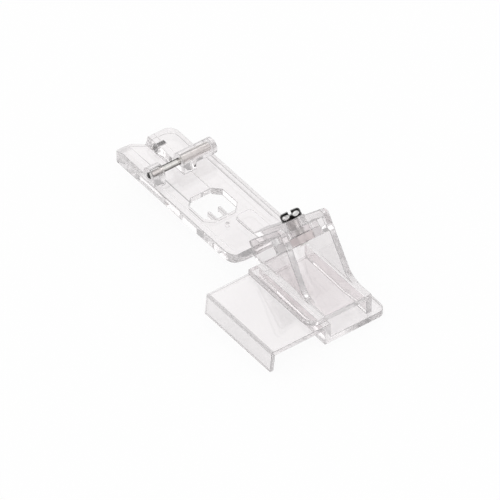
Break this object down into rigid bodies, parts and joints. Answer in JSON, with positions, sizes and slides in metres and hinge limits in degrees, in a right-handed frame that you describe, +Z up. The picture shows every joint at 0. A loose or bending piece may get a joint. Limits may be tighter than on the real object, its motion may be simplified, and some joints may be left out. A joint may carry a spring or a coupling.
{
  "type": "sewing machine presser foot",
  "caption": "Clear moulded clip-on sewing machine presser foot with a needle window, a metal ankle pin and a front guide that slides sideways and is clamped by a slotted screw.",
  "frame": {"origin": "middle of the bare length of the ankle pin, on the pin's axis", "axes": "+X along the ankle pin to the operator's right, -Y forward to the operator, +Z up"},
  "size_m": [0.04, 0.0907, 0.0266],
  "materials": {
    "clear_plastic": "polished clear moulding",
    "pin_metal": "polished",
    "screw_metal": "polished, dark",
    "nut_metal": "satin"
  },
  "bodies": {
    "foot": {"foot_sole": "clear_plastic", "ankle_pin": "pin_metal", "clamp_nut": "nut_metal"},
    "guide": {"front_guide": "clear_plastic"},
    "screw": {"clamp_screw": "screw_metal"}
  },
  "joints": [
    {"name": "guide_slide", "type": "slide", "parent": "foot", "child": "guide", "axis": [1, 0, 0], "range_m": [-0.0025, 0.0025]},
    {"name": "clamp_turn", "type": "hinge", "parent": "foot", "child": "screw", "pos_m": [0.0065, -0.04861, 0.01061], "axis": [0, 0.7071, 0.7071], "range_deg": [0, 360]}
  ]
}
